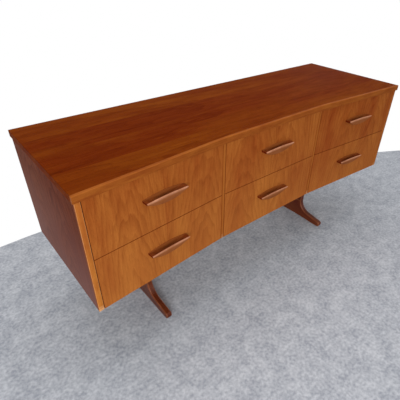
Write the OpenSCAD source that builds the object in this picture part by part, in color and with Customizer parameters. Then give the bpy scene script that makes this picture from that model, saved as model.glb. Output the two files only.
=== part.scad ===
// Long six-drawer dresser: a veneered case in three bays, the outer bays
// turned slightly inwards, on two solid plank legs.
// Frame: the front faces -Y, +X is the long way, +Z is up, the floor is z = 0.

/* [Overall] */
// Length of the top
top_w = 1525; // [1300:1:1800]
// Depth of the top at its two ends
top_d = 500; // [440:1:600]
// Height from the floor to the top
total_h = 725; // [640:1:850]
// Height of the case, with its top
case_h = 408; // [340:1:480]
// How far the middle bay stands back from the two ends
bow = 38; // [0:1:60]

/* [Top] */
// Thickness of the top
top_t = 22; // [16:1:30]
// Thickness of the solid lipping along the top's front edge
top_lip_t = 9; // [5:0.5:16]
// Overhang of the top past each end panel
over_end = 4; // [0:0.5:12]
// Overhang of the top past the drawer fronts
over_front = 5; // [2:0.5:15]
// Overhang of the top past the back
over_back = 2; // [0:0.5:10]
// Half length of the eased bend in the top's front edge
bend_ease = 60; // [10:1:120]

/* [Case] */
// Thickness of each end panel
end_t = 17; // [15:0.5:24]
// Thickness of each divider
divider_t = 12; // [12:0.5:20]
// Clear width of the middle bay
middle_bay_w = 488; // [420:1:560]
// Thickness of the case bottom
bottom_t = 16; // [14:0.5:22]
// Thickness of the back panel
back_t = 5; // [4:0.5:9]
// Thickness of the lipping on the end panels' front edges
end_lip_t = 6; // [3:0.5:10]

/* [Drawers] */
// Thickness of the drawer fronts
front_t = 18; // [16:0.5:24]
// Gap at each end of a drawer front
front_gap = 1.5; // [1:0.1:3]
// Gap above each drawer front
row_gap = 2; // [1.5:0.1:4]
// Thickness of the drawer sides
side_t = 12; // [11:0.5:16]
// How much lower than the front's upper edge the drawer sides are
side_drop = 21; // [12:0.5:30]
// Space between the lower drawers' sides and the case bottom
under_gap = 4; // [2:0.5:8]
// Thickness of the drawer backs
drawer_back_t = 10; // [8:0.5:14]
// How much lower than the sides a drawer back is
back_drop = 12; // [4:0.5:20]
// Thickness of the drawer bases
base_t = 4; // [3:0.5:6]
// Height of the base groove above the sides' lower edge
base_lift = 9; // [7:0.5:14]
// Space between a closed drawer and the case's back panel
rear_space = 12; // [6:0.5:30]

/* [Runners] */
// Height of each runner
runner_h = 14; // [10:0.5:20]
// Depth of the groove in a drawer side
groove_d = 6.5; // [5:0.5:7]
// Space between a runner's front end and the blind end of its groove
runner_stop = 0.5; // [0.3:0.1:5]

/* [Joints] */
// Number of tails on each side's front corner
tails = 4; // [3:1:5]
// Width of a tail at its root
tail_w = 18; // [12:0.5:22]
// How much each edge of a tail flares
tail_flare = 2; // [1:0.1:3]
// Depth of a tail in the drawer front
tail_lap = 12; // [8:0.5:13]
// Diameter of the case dowels
dowel_d = 6; // [5:0.5:8]
// Diameter of the leg dowels
leg_dowel_d = 10; // [8:0.5:12]
// Shank diameter of the wood screws
screw_d = 3.5; // [3:0.1:4.5]

/* [Handles] */
// Length of a handle
handle_l = 148; // [120:1:180]
// How far a handle stands out from the drawer front
handle_out = 25; // [20:0.5:32]
// Rise of the handle's back above its lip
handle_rise = 7.5; // [4:0.5:14]
// Depth of the handle's belly below its lip
handle_drop = 26; // [22:0.5:32]
// Height of the handle's end faces
handle_end = 6; // [4:0.5:10]
// Thickness of the lip in front of the finger scoop
handle_lip = 4; // [3:0.5:6]
// Depth of the finger scoop below the lip
scoop_d = 13; // [9:0.5:16]
// Height of the lip below the drawer front's upper edge
handle_down = 74; // [60:1:90]
// Distance between a handle's two screws
handle_screw_span = 96; // [70:1:110]

/* [Legs] */
// Distance from each end of the top to the middle of the leg
leg_inset = 281; // [200:1:380]
// Thickness of the foot and the post
leg_t = 25; // [20:0.5:35]
// Width of the post, front to back
post_w = 76; // [60:1:110]
// Length of the foot, front to back
foot_l = 350; // [300:1:420]
// Height of the foot's rounded toe
toe_h = 26; // [20:0.5:34]
// Slope of the foot's upper edge, in degrees
toe_slope = 10; // [4:0.5:14]
// Radius of the sweep from the foot into the post
sweep_r = 60; // [40:1:75]
// Relief under the middle of the foot
foot_relief = 4; // [2:0.5:8]
// Length of the flat pad under each toe
pad_l = 60; // [40:1:90]
// Thickness of the bearer on top of the post
bearer_t = 22; // [18:0.5:30]
// Width of the bearer
bearer_w = 80; // [60:1:120]
// Length of the bearer, front to back
bearer_l = 340; // [260:1:400]
// How far the leg stands behind the middle of the top
leg_back = 5; // [-10:1:20]

/* [Hidden] */

// Colours of the woods
top_teak = [0.45, 0.22, 0.08];
front_teak = [0.62, 0.36, 0.15];
end_teak = [0.42, 0.25, 0.18];
lip_teak = [0.70, 0.43, 0.20];
dark_wood = [0.33, 0.15, 0.07];
pale_wood = [0.78, 0.64, 0.44];
ply = [0.72, 0.56, 0.36];
steel = [0.70, 0.70, 0.68];

// Bays and rows
LEFT = -1;
MIDDLE = 0;
RIGHT = 1;
LOWER = 0;
UPPER = 1;

// Clearances
fit = 0.1;          // round a glued or screwed joint
running = 0.3;      // above a runner, where a drawer rests
loose = 0.7;        // below a runner, and at its face
clear = 1;          // behind a closed drawer front
eps = 0.01;         // overshoot of a cut that starts on a face
over = 1;           // overshoot of a cut that runs out of the part

// Places along X
half_w = top_w / 2;
end_x = half_w - over_end;
end_in_x = end_x - end_t;
div_in_x = middle_bay_w / 2;
div_out_x = div_in_x + divider_t;
bend_x = div_in_x + divider_t / 2;
leg_x = half_w - leg_inset;

// Places along Y: the box that the dresser fills, handles and all, is centred
slope = bow / (half_w - bend_x);
slant = atan(slope);
handle_reach = handle_l / 2 * sin(slant) + handle_out * cos(slant)
    - over_front - slope * (half_w - (div_out_x + end_in_x) / 2);
shift_y = max(0, handle_reach) / 2;
front_end_y = shift_y - top_d / 2;
top_back_y = shift_y + top_d / 2;
back_y = top_back_y - over_back;
back_in_y = back_y - back_t;
front_run = front_t / cos(slant);
drawer_rear_y = back_in_y - rear_space;
leg_y = shift_y + leg_back;

// Places along Z
case_z = total_h - case_h;
under_top_z = total_h - top_t;
floor_z = case_z + bottom_t;
front_h = (under_top_z - case_z - 2 * row_gap) / 2;
side_lift = bottom_t + under_gap;
side_h = front_h - side_lift - side_drop;
bearer_z = case_z - bearer_t;

// Lowest point of a row's drawer fronts, and of its drawer sides
function row_z(row) = case_z + row * (front_h + row_gap);
function side_z(row) = row_z(row) + side_lift;
function base_z(row) = side_z(row) + base_lift;
runner_share = 0.55;        // height of a runner's middle, as a share of the side
function runner_z(row) = side_z(row) + runner_share * side_h - runner_h / 2;

// The front's line in plan: straight in each bay, bent at the dividers
function front_y(x, back) =
    front_end_y + back + min(bow, slope * (half_w - abs(x)));

// The same line with its two bends eased, for the top
function eased_y(x, back) =
    let (past = abs(x) - bend_x)
    abs(past) >= bend_ease ? front_y(x, back)
        : front_end_y + bow + back - slope * pow(past + bend_ease, 2) / (4 * bend_ease);

// Inner faces of a bay, and the ends of its drawer
function bay_x0(bay) = bay == LEFT ? -end_in_x : bay == MIDDLE ? -div_in_x : div_out_x;
function bay_x1(bay) = bay == LEFT ? -div_out_x : bay == MIDDLE ? div_in_x : end_in_x;
function drawer_x0(bay) = bay_x0(bay) + front_gap;
function drawer_x1(bay) = bay_x1(bay) - front_gap;
function bay_mid(bay) = (bay_x0(bay) + bay_x1(bay)) / 2;
function bay_run(bay) = bay == MIDDLE ? front_t : front_run;

// Front and back faces of a drawer front at x
function face_y(x) = front_y(x, over_front);
function rear_y(bay, x) = face_y(x) + bay_run(bay);

// ---------------------------------------------------------------- outlines

// Points along the top's eased front edge, from left to right
ease_steps = 8;
function end_point(side, back) = [side * half_w, eased_y(half_w, back)];
function bend_points(side, back, from = -ease_steps, to = ease_steps) = [
    for (i = [from : to])
        let (x = side * bend_x + i * bend_ease / ease_steps) [x, eased_y(x, back)]
];
function eased_edge(back) = concat(
    [end_point(LEFT, back)],
    bend_points(LEFT, back),
    bend_points(RIGHT, back),
    [end_point(RIGHT, back)]
);
function bay_edge(bay, back) =
    bay == LEFT ? concat([end_point(LEFT, back)], bend_points(LEFT, back, to = 0))
    : bay == RIGHT ? concat(bend_points(RIGHT, back, from = 0), [end_point(RIGHT, back)])
    : concat(bend_points(LEFT, back, from = 0), bend_points(RIGHT, back, to = 0));
function reversed(list) = [for (i = [len(list) - 1 : -1 : 0]) list[i]];

// A strip of the front between x0 and x1, from one setback to another
module front_strip(x0, x1, near, far) {
    polygon([
        [x0, front_y(x0, near)], [x1, front_y(x1, near)],
        [x1, front_y(x1, far)], [x0, front_y(x0, far)]
    ]);
}

// A panel whose front edge follows the bent front
module bent_panel(x, near, far_y) {
    polygon([
        [-x, front_y(x, near)], [-bend_x, front_y(bend_x, near)],
        [bend_x, front_y(bend_x, near)], [x, front_y(x, near)],
        [x, far_y], [-x, far_y]
    ]);
}

// ---------------------------------------------------------------- fasteners

panel_fn = 32;
head_ratio = 2;     // head diameter over shank diameter
tip_space = 1;      // between a screw's tip and the end of its hole

// Countersunk wood screw, head flush at z = 0, pointing up +Z
module wood_screw(length) {
    cylinder(d1 = head_ratio * screw_d, d2 = screw_d, h = screw_d / 2, $fn = panel_fn);
    cylinder(d = screw_d, h = length - screw_d, $fn = panel_fn);
    translate([0, 0, length - screw_d])
        cylinder(d1 = screw_d, d2 = screw_d / 4, h = screw_d, $fn = panel_fn);
}

// The hole for it
module screw_hole(length) {
    bore = screw_d + 2 * fit;
    head = head_ratio * screw_d + 2 * fit;
    translate([0, 0, -eps]) cylinder(d = bore, h = length + tip_space + eps, $fn = panel_fn);
    translate([0, 0, -eps])
        cylinder(d1 = head + 2 * eps, d2 = bore, h = (head - bore) / 2 + eps, $fn = panel_fn);
}

// Upright dowel centred at its joint, and its bores
module dowel(d, length) {
    translate([0, 0, -length / 2]) cylinder(d = d, h = length, $fn = panel_fn);
}
module dowel_bore(d, length) {
    dowel(d + 2 * fit, length + 2 * fit);
}

// Dowels of the case: how deep they sit in each pair of panels
panel_dowel_l = 30;
edge_depth = 20;                              // in a panel's edge
face_depth = panel_dowel_l - edge_depth;      // in a panel's face
dowel_shares = [0.2, 0.54, 0.86];             // along the top's depth
dowel_ys = [for (share = dowel_shares) front_end_y + share * top_d];

// Between the uprights and the top, and between the dividers and the bottom
module top_dowel_places() {
    for (x = [-end_x + end_t / 2, -bend_x, bend_x, end_x - end_t / 2])
        for (y = dowel_ys)
            translate([x, y, under_top_z + (face_depth - edge_depth) / 2])
                children();
}
module divider_foot_dowel_places() {
    for (x = [-bend_x, bend_x])
        for (y = dowel_ys)
            translate([x, y, floor_z - (face_depth - edge_depth) / 2])
                children();
}
// Between the bottom and the end panels, lying along X
module bottom_dowel_places() {
    for (side = [LEFT, RIGHT])
        for (y = dowel_ys)
            translate([side * (end_in_x + (face_depth - edge_depth) / 2),
                       y, case_z + bottom_t / 2])
                rotate([0, 90, 0]) children();
}
// Between the foot, the post and the bearer
leg_dowel_l = 36;
joint_z = foot_edge(post_w / 2 + sweep_r) + sweep_r / cos(toe_slope);
module leg_dowel_places(side) {
    for (z = [joint_z, bearer_z])
        for (y = [-post_w / 4, post_w / 4])
            translate([side * leg_x, leg_y + y, z]) children();
}

// Screws through the runners, the bearers and the back panel
runner_t = front_gap + groove_d - loose;
bite = 0.6;                // how far a screw goes into the panel it holds, as a share
runner_screw_l = runner_t + bite * divider_t;
runner_screw_in = 40;      // from each end of a runner
stagger = 16;              // keeps screws from both faces of a divider apart
bearer_screw_l = bearer_t + bite * bottom_t;
bearer_screw_in = 34;      // from each end of a bearer
back_screw_hold = 18;      // how far a back screw goes into the case
back_screw_l = back_t + back_screw_hold;
back_screw_in = 32;        // from each end of the back panel
back_screws = 3;           // on each side of the middle one
back_screw_pitch = (end_in_x - back_screw_in) / back_screws;
function runner_y0(x) = face_y(x) + front_run + clear + runner_stop;
function runner_y1() = back_in_y - clear;

// Wall faces that carry runners: x of the face, which way it looks, and which
// way its screws are staggered from those in a divider's other face
walls = [
    [-end_in_x, RIGHT, -1], [-div_out_x, LEFT, -1], [-div_in_x, RIGHT, 1],
    [div_in_x, LEFT, 1], [div_out_x, RIGHT, -1], [end_in_x, LEFT, -1]
];
module runner_screw_places() {
    for (row = [LOWER, UPPER])
        for (wall = walls)
            for (y = [runner_y0(wall[0]) + runner_screw_in, runner_y1() - runner_screw_in])
                translate([wall[0] + wall[1] * runner_t,
                           y + wall[2] * stagger / 2, runner_z(row) + runner_h / 2])
                    rotate([0, -90 * wall[1], 0]) children();
}
module bearer_screw_places() {
    for (side = [LEFT, RIGHT])
        for (x = [-bearer_w / 4, bearer_w / 4])
            for (y = [bearer_screw_in - bearer_l / 2, bearer_l / 2 - bearer_screw_in])
                translate([side * leg_x + x, leg_y + y, bearer_z]) children();
}
module back_screw_places() {
    for (i = [-back_screws : back_screws])
        translate([i * back_screw_pitch, back_y, case_z + bottom_t / 2])
            rotate([90, 0, 0]) children();
    for (x = [-bend_x, bend_x])
        for (row = [LOWER, UPPER])
            translate([x, back_y, runner_z(row) + runner_h / 2])
                rotate([90, 0, 0]) children();
}

// ---------------------------------------------------------------- case

module top_panel() {
    color(top_teak) difference() {
        translate([0, 0, under_top_z]) linear_extrude(top_t) polygon(concat(
            eased_edge(top_lip_t),
            [[half_w, top_back_y], [-half_w, top_back_y]]
        ));
        top_dowel_places() dowel_bore(dowel_d, panel_dowel_l);
    }
}

// Three strips, one for each bay, which meet at the bends
module top_lipping() {
    color(lip_teak)
        for (bay = [LEFT, MIDDLE, RIGHT])
            translate([0, 0, under_top_z]) linear_extrude(top_t)
                polygon(concat(bay_edge(bay, 0), reversed(bay_edge(bay, top_lip_t))));
}

module end_panel(side) {
    color(end_teak) difference() {
        translate([0, 0, case_z]) linear_extrude(under_top_z - case_z) polygon([
            [side * end_x, front_y(end_x, over_front + end_lip_t)],
            [side * end_in_x, front_y(end_in_x, over_front + end_lip_t)],
            [side * end_in_x, back_y], [side * end_x, back_y]
        ]);
        top_dowel_places() dowel_bore(dowel_d, panel_dowel_l);
        bottom_dowel_places() dowel_bore(dowel_d, panel_dowel_l);
        runner_screw_places() screw_hole(runner_screw_l);
    }
}

module divider(side) {
    color(pale_wood) difference() {
        translate([0, 0, floor_z]) linear_extrude(under_top_z - floor_z) polygon([
            [side * div_out_x, rear_y(RIGHT, div_out_x) + clear],
            [side * div_in_x, rear_y(MIDDLE, div_in_x) + clear],
            [side * div_in_x, back_in_y], [side * div_out_x, back_in_y]
        ]);
        top_dowel_places() dowel_bore(dowel_d, panel_dowel_l);
        divider_foot_dowel_places() dowel_bore(dowel_d, panel_dowel_l);
        runner_screw_places() screw_hole(runner_screw_l);
        back_screw_places() screw_hole(back_screw_l);
    }
}

// Solid strips on the front edges of the end panels and dividers
module front_lippings() {
    color(lip_teak) translate([0, 0, case_z]) linear_extrude(under_top_z - case_z) {
        for (side = [LEFT, RIGHT]) {
            front_strip(side * end_x, side * end_in_x, over_front, over_front + end_lip_t);
            polygon([
                [side * div_in_x, face_y(div_in_x)], [side * bend_x, face_y(bend_x)],
                [side * div_out_x, face_y(div_out_x)],
                [side * div_out_x, rear_y(RIGHT, div_out_x) + clear],
                [side * div_in_x, rear_y(MIDDLE, div_in_x) + clear]
            ]);
        }
    }
}

module bottom_panel() {
    color(pale_wood) difference() {
        translate([0, 0, case_z]) linear_extrude(bottom_t)
            bent_panel(end_in_x, over_front + front_run + clear, back_in_y);
        bottom_dowel_places() dowel_bore(dowel_d, panel_dowel_l);
        divider_foot_dowel_places() dowel_bore(dowel_d, panel_dowel_l);
        bearer_screw_places() screw_hole(bearer_screw_l);
        back_screw_places() screw_hole(back_screw_l);
    }
}

module back_panel() {
    color(ply) difference() {
        translate([-end_in_x, back_in_y, case_z])
            cube([2 * end_in_x, back_t, under_top_z - case_z]);
        back_screw_places() screw_hole(back_screw_l);
    }
}

// Strips screwed to the walls, on which the grooved drawer sides run
module drawer_runners() {
    color(pale_wood) difference() {
        for (row = [LOWER, UPPER])
            for (wall = walls)
                translate([min(wall[0], wall[0] + wall[1] * runner_t),
                           runner_y0(wall[0]), runner_z(row)])
                    cube([runner_t, runner_y1() - runner_y0(wall[0]), runner_h]);
        runner_screw_places() screw_hole(runner_screw_l);
    }
}

module dowels() {
    color(pale_wood) {
        top_dowel_places() dowel(dowel_d, panel_dowel_l);
        divider_foot_dowel_places() dowel(dowel_d, panel_dowel_l);
        bottom_dowel_places() dowel(dowel_d, panel_dowel_l);
        for (side = [LEFT, RIGHT])
            leg_dowel_places(side) dowel(leg_dowel_d, leg_dowel_l);
    }
}

module wood_screws() {
    color(steel) {
        runner_screw_places() wood_screw(runner_screw_l);
        bearer_screw_places() wood_screw(bearer_screw_l);
        back_screw_places() wood_screw(back_screw_l);
    }
}

// ---------------------------------------------------------------- legs

toe_round = 0.45;           // radius of the toe's corners, as a share of its height

// Upper edge of the foot's sloped stretch, at a distance from its middle
function foot_edge(x) = toe_h + tan(toe_slope) * (foot_l / 2 - x);

// Half of the foot's outline, toe towards +X: a rounded toe, a sloped upper
// edge, and a sweep that ends upright at the post
module half_foot() {
    toe_r = toe_round * toe_h;
    toe_x = foot_l / 2 - toe_r;
    round_x = toe_x + toe_r * sin(toe_slope);
    round_z = foot_edge(round_x) - toe_r * cos(toe_slope);
    sweep_x = post_w / 2 + sweep_r;
    sweep_from = sweep_x - sweep_r * sin(toe_slope);
    difference() {
        polygon([
            [0, 0], [toe_x, 0], [toe_x, round_z], [round_x, foot_edge(round_x)],
            [sweep_from, foot_edge(sweep_from)], [sweep_from, joint_z], [0, joint_z]
        ]);
        translate([sweep_x, joint_z]) circle(r = sweep_r, $fn = 96);
    }
    translate([toe_x, toe_r]) circle(r = toe_r, $fn = panel_fn);
    translate([toe_x, round_z]) circle(r = toe_r, $fn = panel_fn);
    translate([toe_x, toe_r]) square([toe_r, round_z - toe_r]);
}

module leg_foot(side) {
    relief_l = foot_l - 2 * pad_l;
    relief_r = (pow(relief_l / 2, 2) + pow(foot_relief, 2)) / (2 * foot_relief);
    color(dark_wood) difference() {
        translate([side * leg_x + leg_t / 2, leg_y, 0]) rotate([90, 0, -90])
            linear_extrude(leg_t) difference() {
                union() {
                    half_foot();
                    mirror([1, 0]) half_foot();
                }
                translate([0, foot_relief - relief_r]) circle(r = relief_r, $fn = 180);
            }
        leg_dowel_places(side) dowel_bore(leg_dowel_d, leg_dowel_l);
    }
}

module leg_post(side) {
    color(dark_wood) difference() {
        translate([side * leg_x - leg_t / 2, leg_y - post_w / 2, joint_z])
            cube([leg_t, post_w, bearer_z - joint_z]);
        leg_dowel_places(side) dowel_bore(leg_dowel_d, leg_dowel_l);
    }
}

module leg_bearer(side) {
    chamfer = 0.6 * bearer_t;
    color(dark_wood) difference() {
        translate([side * leg_x + bearer_w / 2, leg_y, bearer_z]) rotate([90, 0, -90])
            linear_extrude(bearer_w) polygon([
                [-bearer_l / 2 + chamfer, 0], [bearer_l / 2 - chamfer, 0],
                [bearer_l / 2, chamfer], [bearer_l / 2, bearer_t],
                [-bearer_l / 2, bearer_t], [-bearer_l / 2, chamfer]
            ]);
        leg_dowel_places(side) dowel_bore(leg_dowel_d, leg_dowel_l);
        bearer_screw_places() screw_hole(bearer_screw_l);
    }
}

// ---------------------------------------------------------------- drawers

// Places children on a drawer's face, at the handle's lip, with -Y outwards
module on_face(row, bay) {
    x = bay_mid(bay);
    translate([x, face_y(x), row_z(row) + front_h - handle_down])
        rotate([0, 0, -bay * slant]) children();
}

// Tails of a drawer side in side view, drawn along Y and Z
module tail_outline(row, joint_y, grow) {
    pitch = side_h / tails;
    for (i = [0 : tails - 1]) {
        z = side_z(row) + (i + 0.5) * pitch;
        root = tail_w / 2 + grow;
        tip = root + tail_flare;
        polygon([
            [joint_y + side_t, z - root], [joint_y, z - root],
            [joint_y - tail_lap - grow, z - tip], [joint_y - tail_lap - grow, z + tip],
            [joint_y, z + root], [joint_y + side_t, z + root]
        ]);
    }
}

// Solid tails between x0 and x1
module tails_solid(row, bay, x0, x1, grow) {
    joint_y = rear_y(bay, (x0 + x1) / 2);
    translate([x0, 0, 0]) rotate([90, 0, 90]) linear_extrude(x1 - x0)
        tail_outline(row, joint_y, grow);
}

// Straight cuts for a handle's two screws, from the front's back face outwards
handle_screw_d = 4;
handle_screw_in = 14;       // into the handle
handle_screw_v = -(scoop_d + handle_drop) / 3;     // between the scoop and the belly
module handle_screw_places() {
    for (x = [-handle_screw_span / 2, handle_screw_span / 2])
        translate([x, front_t, handle_screw_v]) rotate([90, 0, 0]) children();
}

module drawer_front(row, bay) {
    x0 = drawer_x0(bay);
    x1 = drawer_x1(bay);
    color(front_teak) difference() {
        translate([0, 0, row_z(row)]) linear_extrude(front_h) polygon([
            [x0, face_y(x0)], [x1, face_y(x1)], [x1, rear_y(bay, x1)], [x0, rear_y(bay, x0)]
        ]);
        tails_solid(row, bay, x0 - clear, x0 + side_t + fit, fit);
        tails_solid(row, bay, x1 - side_t - fit, x1 + clear, fit);
        drawer_base_slot(row, bay);
        on_face(row, bay) handle_screw_places()
            translate([0, 0, -eps])
                cylinder(d = handle_screw_d + 4 * fit, h = front_t + over, $fn = panel_fn);
    }
}

// Base panel in plan: into the side grooves, and into the front's groove
base_in = 4;
base_back = 1;              // from its back edge to the ends of the sides
module base_plan(bay, grow, rear) {
    x0 = drawer_x0(bay) + side_t - base_in - grow;
    x1 = drawer_x1(bay) - side_t + base_in + grow;
    polygon([
        [x0, rear_y(bay, x0) - base_in - grow], [x1, rear_y(bay, x1) - base_in - grow],
        [x1, rear], [x0, rear]
    ]);
}
module drawer_base_slot(row, bay) {
    translate([0, 0, base_z(row) - fit]) linear_extrude(base_t + 2 * fit)
        base_plan(bay, fit, drawer_rear_y + over);
}

// Side between x0 and x1, grooved on its outer face for the runner
module drawer_side(row, bay, side) {
    x0 = side == LEFT ? drawer_x0(bay) : drawer_x1(bay) - side_t;
    x1 = x0 + side_t;
    outer_x = side == LEFT ? x0 - over : x1 - groove_d;
    housing_x = side == LEFT ? x1 - base_in : x0 - over;
    groove_y = rear_y(bay, side == LEFT ? x0 : x1) + clear;
    color(pale_wood) difference() {
        union() {
            translate([0, 0, side_z(row)]) linear_extrude(side_h) polygon([
                [x0, rear_y(bay, x0)], [x1, rear_y(bay, x1)],
                [x1, drawer_rear_y], [x0, drawer_rear_y]
            ]);
            tails_solid(row, bay, x0, x1, 0);
        }
        translate([outer_x, groove_y, runner_z(row) - loose])
            cube([groove_d + over, drawer_rear_y - groove_y + over, runner_h + loose + running]);
        drawer_base_slot(row, bay);
        translate([housing_x, drawer_rear_y - 2 * drawer_back_t - fit, base_z(row) + base_t])
            cube([base_in + over, drawer_back_t + 2 * fit, side_h]);
    }
}

module drawer_back(row, bay) {
    x0 = drawer_x0(bay) + side_t - base_in + fit;
    x1 = drawer_x1(bay) - side_t + base_in - fit;
    z0 = base_z(row) + base_t + fit;
    color(pale_wood) translate([x0, drawer_rear_y - 2 * drawer_back_t, z0])
        cube([x1 - x0, drawer_back_t, side_z(row) + side_h - back_drop - z0]);
}

module drawer_base(row, bay) {
    color(ply) translate([0, 0, base_z(row)]) linear_extrude(base_t)
        base_plan(bay, 0, drawer_rear_y - base_back);
}

back_wall = 2.5;            // thickness of the handle's back above its lip
rake = 4;                   // how far the belly's lower edge stands back
scoop_in = 10;              // from each end of the handle to its scoop

// Leaf-shaped handle with a finger scoop behind its straight lip; drawn with
// the lip at z = 0 and the drawer's face at y = 0
module handle(row, bay) {
    half_l = handle_l / 2;
    belly = handle_drop - handle_end;
    top_r = (pow(half_l, 2) + pow(handle_rise, 2)) / (2 * handle_rise);
    belly_r = (pow(half_l, 2) + pow(belly, 2)) / (2 * belly);
    scoop_half = half_l - scoop_in;
    scoop_r = (pow(scoop_half, 2) + pow(scoop_d, 2)) / (2 * scoop_d);
    scoop_gap = handle_out - back_wall - handle_lip;
    color(dark_wood) on_face(row, bay) difference() {
        rotate([90, 0, 0]) linear_extrude(handle_out) intersection() {
            translate([0, handle_rise - top_r]) circle(r = top_r, $fn = 180);
            translate([0, belly_r - handle_drop]) circle(r = belly_r, $fn = 180);
            translate([-half_l, -handle_drop]) square([handle_l, handle_drop + handle_rise]);
        }
        translate([-half_l, -handle_out - over, 0])
            cube([handle_l, handle_out + over - back_wall, handle_rise + over]);
        translate([0, -back_wall, scoop_r - scoop_d]) rotate([90, 0, 0])
            cylinder(r = scoop_r, h = scoop_gap, $fn = 180);
        translate([0, -handle_out, 0]) rotate([atan(rake / handle_drop), 0, 0])
            translate([-half_l - over, -rake * 2, -2 * handle_drop])
                cube([handle_l + 2 * over, rake * 2, 2 * handle_drop]);
        handle_screw_places() translate([0, 0, front_t - eps])
            cylinder(d = handle_screw_d + 2 * fit, h = handle_screw_in + tip_space, $fn = panel_fn);
    }
}

// Round-headed screws from inside the drawer front
module handle_screws(row, bay) {
    head_h = 0.6 * handle_screw_d;
    color(steel) on_face(row, bay) handle_screw_places() {
        cylinder(d = handle_screw_d, h = front_t + handle_screw_in, $fn = panel_fn);
        translate([0, 0, -head_h])
            cylinder(d = head_ratio * handle_screw_d, h = head_h, $fn = panel_fn);
    }
}

// ---------------------------------------------------------------- drawing

top_panel();
top_lipping();
end_panel(LEFT);  // left_end_panel
end_panel(RIGHT);  // right_end_panel
divider(LEFT);  // left_divider
divider(RIGHT);  // right_divider
front_lippings();
bottom_panel();
back_panel();
drawer_runners();
dowels();
wood_screws();

leg_foot(LEFT);  // left_leg_foot
leg_post(LEFT);  // left_leg_post
leg_bearer(LEFT);  // left_leg_bearer
leg_foot(RIGHT);  // right_leg_foot
leg_post(RIGHT);  // right_leg_post
leg_bearer(RIGHT);  // right_leg_bearer

drawer_front(UPPER, LEFT);  // upper_left_front
drawer_side(UPPER, LEFT, LEFT);  // upper_left_outer_side
drawer_side(UPPER, LEFT, RIGHT);  // upper_left_inner_side
drawer_back(UPPER, LEFT);  // upper_left_back
drawer_base(UPPER, LEFT);  // upper_left_base
handle(UPPER, LEFT);  // upper_left_handle
handle_screws(UPPER, LEFT);  // upper_left_handle_screws

drawer_front(UPPER, MIDDLE);  // upper_middle_front
drawer_side(UPPER, MIDDLE, LEFT);  // upper_middle_left_side
drawer_side(UPPER, MIDDLE, RIGHT);  // upper_middle_right_side
drawer_back(UPPER, MIDDLE);  // upper_middle_back
drawer_base(UPPER, MIDDLE);  // upper_middle_base
handle(UPPER, MIDDLE);  // upper_middle_handle
handle_screws(UPPER, MIDDLE);  // upper_middle_handle_screws

drawer_front(UPPER, RIGHT);  // upper_right_front
drawer_side(UPPER, RIGHT, LEFT);  // upper_right_inner_side
drawer_side(UPPER, RIGHT, RIGHT);  // upper_right_outer_side
drawer_back(UPPER, RIGHT);  // upper_right_back
drawer_base(UPPER, RIGHT);  // upper_right_base
handle(UPPER, RIGHT);  // upper_right_handle
handle_screws(UPPER, RIGHT);  // upper_right_handle_screws

drawer_front(LOWER, LEFT);  // lower_left_front
drawer_side(LOWER, LEFT, LEFT);  // lower_left_outer_side
drawer_side(LOWER, LEFT, RIGHT);  // lower_left_inner_side
drawer_back(LOWER, LEFT);  // lower_left_back
drawer_base(LOWER, LEFT);  // lower_left_base
handle(LOWER, LEFT);  // lower_left_handle
handle_screws(LOWER, LEFT);  // lower_left_handle_screws

drawer_front(LOWER, MIDDLE);  // lower_middle_front
drawer_side(LOWER, MIDDLE, LEFT);  // lower_middle_left_side
drawer_side(LOWER, MIDDLE, RIGHT);  // lower_middle_right_side
drawer_back(LOWER, MIDDLE);  // lower_middle_back
drawer_base(LOWER, MIDDLE);  // lower_middle_base
handle(LOWER, MIDDLE);  // lower_middle_handle
handle_screws(LOWER, MIDDLE);  // lower_middle_handle_screws

drawer_front(LOWER, RIGHT);  // lower_right_front
drawer_side(LOWER, RIGHT, LEFT);  // lower_right_inner_side
drawer_side(LOWER, RIGHT, RIGHT);  // lower_right_outer_side
drawer_back(LOWER, RIGHT);  // lower_right_back
drawer_base(LOWER, RIGHT);  // lower_right_base
handle(LOWER, RIGHT);  // lower_right_handle
handle_screws(LOWER, RIGHT);  // lower_right_handle_screws
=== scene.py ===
import math

import bmesh
import bpy
from mathutils import Matrix, Vector


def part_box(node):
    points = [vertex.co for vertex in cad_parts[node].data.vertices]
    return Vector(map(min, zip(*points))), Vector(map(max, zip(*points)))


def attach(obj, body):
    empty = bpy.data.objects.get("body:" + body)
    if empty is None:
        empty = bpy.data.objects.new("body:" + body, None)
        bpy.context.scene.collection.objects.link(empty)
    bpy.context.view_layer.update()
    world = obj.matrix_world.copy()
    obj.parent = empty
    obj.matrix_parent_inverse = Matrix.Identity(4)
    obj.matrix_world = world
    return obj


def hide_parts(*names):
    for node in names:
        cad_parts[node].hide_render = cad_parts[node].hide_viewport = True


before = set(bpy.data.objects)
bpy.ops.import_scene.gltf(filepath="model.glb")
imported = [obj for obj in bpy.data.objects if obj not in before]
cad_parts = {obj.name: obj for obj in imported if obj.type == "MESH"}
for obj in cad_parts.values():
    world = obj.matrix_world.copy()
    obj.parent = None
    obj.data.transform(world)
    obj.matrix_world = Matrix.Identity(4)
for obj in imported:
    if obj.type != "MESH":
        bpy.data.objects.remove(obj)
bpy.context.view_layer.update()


# ---- Top board --------------------------------------------------------------
# A veneered board with its teak laid lengthwise in a few leaves, oiled and
# polished to a low sheen. Its front edge is left square for the solid lipping.

def stain(red, green, blue):
    """A colour written from 0 to 255, as the linear values that the shaders take."""
    def linear(value):
        value /= 255
        return value / 12.92 if value <= 0.04045 else ((value + 0.055) / 1.055) ** 2.4
    return (linear(red), linear(green), linear(blue), 1.0)


def add(tree, kind, inputs=None, **settings):
    """A node with its settings. An input given as another node's output is linked to it."""
    made = tree.nodes.new(kind)
    for name, value in settings.items():
        setattr(made, name, value)
    for name, value in (inputs or {}).items():
        if isinstance(value, bpy.types.NodeSocket):
            tree.links.new(value, made.inputs[name])
        else:
            made.inputs[name].default_value = value
    return made


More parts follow.
